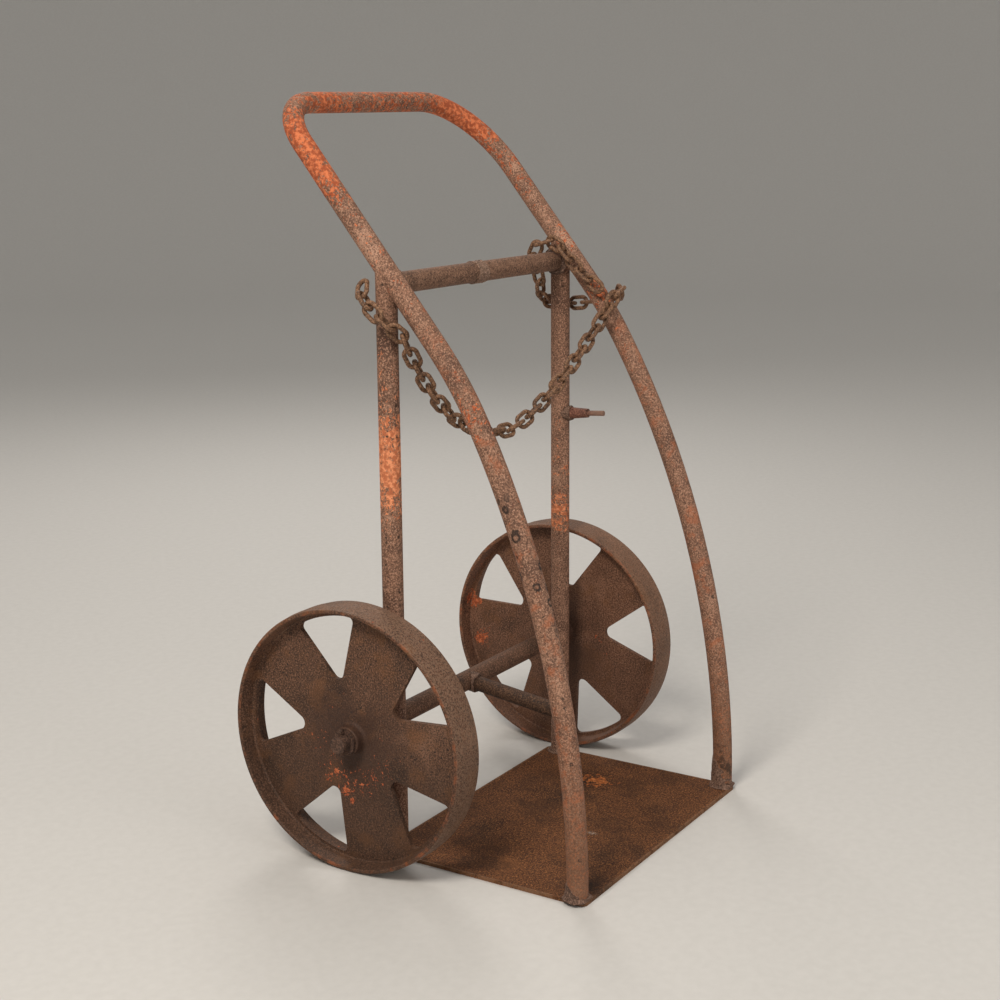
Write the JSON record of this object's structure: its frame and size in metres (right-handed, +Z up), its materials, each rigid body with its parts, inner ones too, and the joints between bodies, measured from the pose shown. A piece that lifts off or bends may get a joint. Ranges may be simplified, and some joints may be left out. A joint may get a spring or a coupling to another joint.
{
  "type": "gas cylinder trolley",
  "caption": "Rusty welded pipe trolley for two gas bottles, with a flat base plate, curved pipe handle, two cast disc wheels and a bottle chain.",
  "frame": {"origin": "on the floor, in the middle of the trolley's outline seen from above", "axes": "+Z up, -Y towards the front where the bottles stand, +X to the right seen from the front"},
  "size_m": [0.754, 0.6066, 1.2221],
  "materials": {
    "rusty_pipe": "pinkish brown rust with dark pits and remains of orange paint",
    "rusty_plate": "brown rust with an orange grain and a paler worn edge",
    "rusty_steel": "dark brown rusty bare steel",
    "rusty_bar": "brown rust with red paint remains",
    "weld_metal": "rough rusty weld",
    "chain_steel": "tan rust, worn smooth",
    "rusty_cast_wheel": "dark brown pitted rust with an orange rim edge"
  },
  "bodies": {
    "frame": {"base_plate": "rusty_plate", "bent_pipe_frame": "rusty_pipe", "left_upright": "rusty_pipe", "right_upright": "rusty_pipe", "crossbar": "rusty_pipe", "crossbar_repair_bead": "weld_metal", "axle_beam": "rusty_pipe", "axle_rod": "rusty_steel", "bottle_divider": "rusty_bar", "hose_peg": "rusty_bar", "left_outer_washer": "rusty_steel", "right_outer_washer": "rusty_steel", "left_inner_washer": "rusty_steel", "right_inner_washer": "rusty_steel", "left_split_pin": "rusty_steel", "right_split_pin": "rusty_steel", "chain_left_end": "chain_steel", "chain_right_loop": "chain_steel", "side_pipe_foot_welds": "weld_metal", "upright_foot_welds": "weld_metal", "crossbar_welds": "weld_metal", "axle_beam_welds": "weld_metal", "divider_weld": "weld_metal", "peg_weld": "weld_metal"},
    "left_wheel": {"left_wheel": "rusty_cast_wheel"},
    "right_wheel": {"right_wheel": "rusty_cast_wheel"},
    "chain": {"chain_span": "chain_steel"}
  },
  "joints": [
    {"name": "left_wheel_spin", "type": "hinge", "parent": "frame", "child": "left_wheel", "pos_m": [-0.33, 0.08575, 0.2175], "axis": [1, 0, 0], "continuous": true},
    {"name": "right_wheel_spin", "type": "hinge", "parent": "frame", "child": "right_wheel", "pos_m": [0.33, 0.08575, 0.2175], "axis": [1, 0, 0], "continuous": true},
    {"name": "chain_swing", "type": "hinge", "parent": "frame", "child": "chain", "pos_m": [-0.27382, 0.01509, 0.8515], "axis": [0.9887, -0.1497, 0.011], "range_deg": [-8, 6]}
  ]
}
